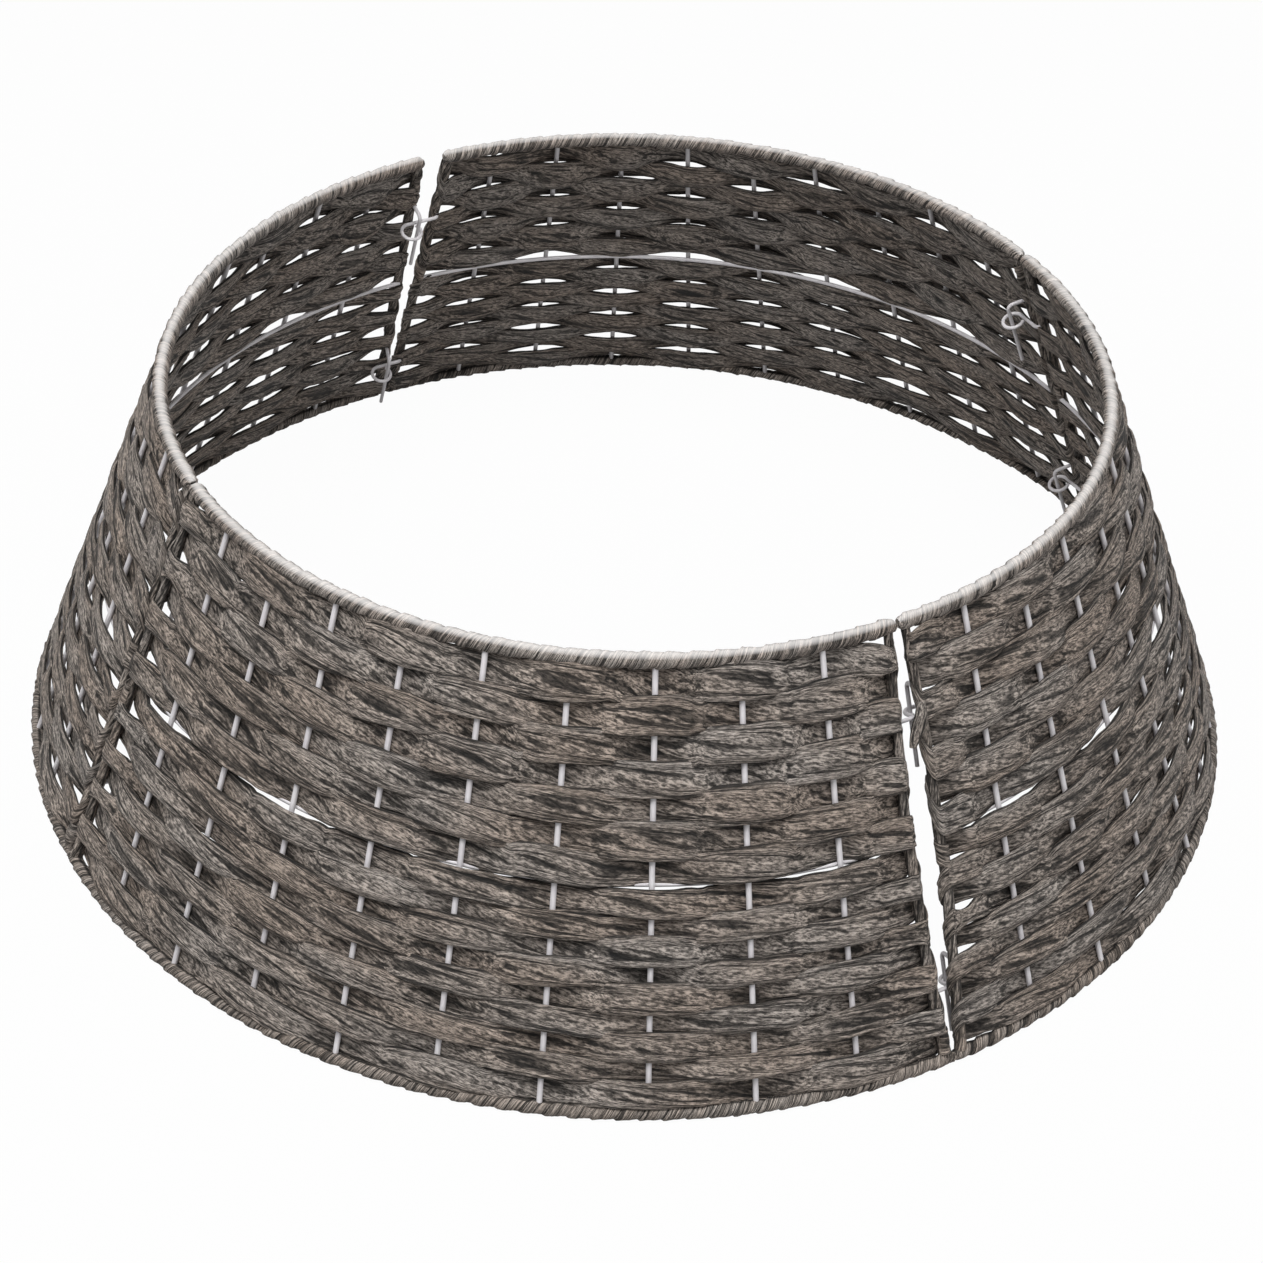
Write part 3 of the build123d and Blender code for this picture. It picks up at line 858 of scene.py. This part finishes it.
class COLLAR_OT_coat_wires(bpy.types.Operator):
    """Give the hoops, stakes, girth wires and fasteners their powder coat"""

    bl_idname = "collar.coat_wires"
    bl_label = "Coat wires"

    def execute(self, context):
        finish = powder_coated_steel_wire(context.scene.collar_finish)
        for panel in PANEL_START:
            for node in ("frame", "stakes", "mid_wire", "upper_pin", "lower_pin", "upper_eye", "lower_eye"):
                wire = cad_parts[f"{panel}_panel_{node}"]
                wire.data.materials.clear()
                wire.data.materials.append(finish)
        return {"FINISHED"}


class COLLAR_OT_weave_walls(bpy.types.Operator):
    """Weave one strand back and forth through the stakes above and below the girth wire"""

    bl_idname = "collar.weave_walls"
    bl_label = "Weave walls"

    def execute(self, context):
        settings = context.scene.collar_strand
        finish = crinkled_paper_cord(context.scene.collar_finish)
        rows = {"upper": (0, UPPER_ROWS - 1), "lower": (UPPER_ROWS, LAST_ROW)}
        for number, panel in enumerate(PANEL_START):
            for level, (first, last) in rows.items():
                rng = np.random.default_rng(settings.seed + 10 * number + first)
                rail = serpentine(panel, first, last, settings, rng)
                piece = lay_strand(f"{panel}_{level}_strand", "wall", rail, settings,
                                   settings.seed + number, finish)
                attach(piece, f"{panel}_panel")
                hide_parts(f"{panel}_panel_{level}_weave")
        return {"FINISHED"}


class COLLAR_OT_wind_rims(bpy.types.Operator):
    """Wind the strand round the top and foot hoops of every panel"""

    bl_idname = "collar.wind_rims"
    bl_label = "Wind rims"

    def execute(self, context):
        settings = context.scene.collar_strand
        tones = context.scene.collar_finish
        for number, panel in enumerate(PANEL_START):
            for node, share, finish in (("top_binding", 0.0, highlighted_paper_cord(tones)),
                                        ("foot_binding", 1.0, crinkled_paper_cord(tones))):
                rng = np.random.default_rng(settings.seed + 100 + 10 * number + int(share))
                rail = rim_rail(panel, share, settings, rng)
                piece = lay_strand(f"{panel}_{node}_winding", "rim", rail, settings,
                                   settings.seed + 20 + number, finish)
                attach(piece, f"{panel}_panel")
                # The foot's winding is pressed flat on the floor
                for vertex in piece.data.vertices:
                    vertex.co.z = max(vertex.co.z, 0.0)
                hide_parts(f"{panel}_panel_{node}")
        return {"FINISHED"}


class COLLAR_OT_wind_sides(bpy.types.Operator):
    """Wind the strand round the two side wires of every panel"""

    bl_idname = "collar.wind_sides"
    bl_label = "Wind sides"

    def execute(self, context):
        settings = context.scene.collar_strand
        finish = crinkled_paper_cord(context.scene.collar_finish)
        for number, panel in enumerate(PANEL_START):
            for node, direction in (("pin_side_binding", 1), ("eye_side_binding", -1)):
                rng = np.random.default_rng(settings.seed + 200 + 10 * number + direction)
                rail = side_rail(panel, direction, settings, rng)
                piece = lay_strand(f"{panel}_{node}_winding", "side", rail, settings,
                                   settings.seed + 30 + number, finish)
                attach(piece, f"{panel}_panel")
                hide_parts(f"{panel}_panel_{node}")
        return {"FINISHED"}


class COLLAR_OT_leave_tail(bpy.types.Operator):
    """Leave the loose end of the strand at the front seam"""

    bl_idname = "collar.leave_tail"
    bl_label = "Leave loose tail"

    def execute(self, context):
        settings = context.scene.collar_strand
        finish = crinkled_paper_cord(context.scene.collar_finish)
        rng = np.random.default_rng(settings.seed + 300)
        rail = tail_rail(settings, rng)
        piece = lay_strand("right_loose_tail", "tail", rail, settings, settings.seed + 40, finish)
        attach(piece, "right_panel")
        return {"FINISHED"}


class COLLAR_OT_set_stage(bpy.types.Operator):
    """Set the pale floor, the soft lamps and the camera"""

    bl_idname = "collar.set_stage"
    bl_label = "Set stage"

    def execute(self, context):
        settings = context.scene.collar_stage
        scene = context.scene
        scene.view_settings.view_transform = "Standard"
        reach = settings.floor_reach
        mesh = bpy.data.meshes.new("floor")
        corners = [(-reach, -reach, 0), (reach, -reach, 0), (reach, reach, 0), (-reach, reach, 0)]
        mesh.from_pydata(corners, [], [(0, 1, 2, 3)])
        floor = bpy.data.objects.new("floor", mesh)
        scene.collection.objects.link(floor)
        mesh.materials.append(white_backdrop_paper())
        scene.world = soft_studio()
        hang_lamps(scene, settings)
        set_camera(scene, settings)
        return {"FINISHED"}


class COLLAR_PT_sidebar(bpy.types.Panel):
    """Sizes, colours and steps of the collar's finish"""

    bl_idname = "COLLAR_PT_sidebar"
    bl_label = "Tree collar"
    bl_space_type = "VIEW_3D"
    bl_region_type = "UI"
    bl_category = "Tree Collar"

    def draw(self, context):
        scene = context.scene
        for settings in (scene.collar_strand, scene.collar_finish, scene.collar_stage):
            box = self.layout.box()
            for name in settings.__annotations__:
                box.prop(settings, name)
        for step in OPERATORS:
            self.layout.operator(step.bl_idname)


OPERATORS = (
    COLLAR_OT_coat_wires,
    COLLAR_OT_weave_walls,
    COLLAR_OT_wind_rims,
    COLLAR_OT_wind_sides,
    COLLAR_OT_leave_tail,
    COLLAR_OT_set_stage,
)
SETTINGS = {
    "collar_strand": CollarStrandSettings,
    "collar_finish": CollarFinishSettings,
    "collar_stage": CollarStageSettings,
}


def register():
    for group in SETTINGS.values():
        bpy.utils.register_class(group)
    for step in OPERATORS:
        bpy.utils.register_class(step)
    bpy.utils.register_class(COLLAR_PT_sidebar)
    for name, group in SETTINGS.items():
        setattr(bpy.types.Scene, name, bpy.props.PointerProperty(type=group))


def unregister():
    for name in SETTINGS:
        delattr(bpy.types.Scene, name)
    bpy.utils.unregister_class(COLLAR_PT_sidebar)
    for step in reversed(OPERATORS):
        bpy.utils.unregister_class(step)
    for group in SETTINGS.values():
        bpy.utils.unregister_class(group)


def main():
    register()
    bpy.ops.collar.coat_wires()
    bpy.ops.collar.weave_walls()
    bpy.ops.collar.wind_rims()
    bpy.ops.collar.wind_sides()
    bpy.ops.collar.leave_tail()
    bpy.ops.collar.set_stage()


if __name__ == "__main__":
    main()
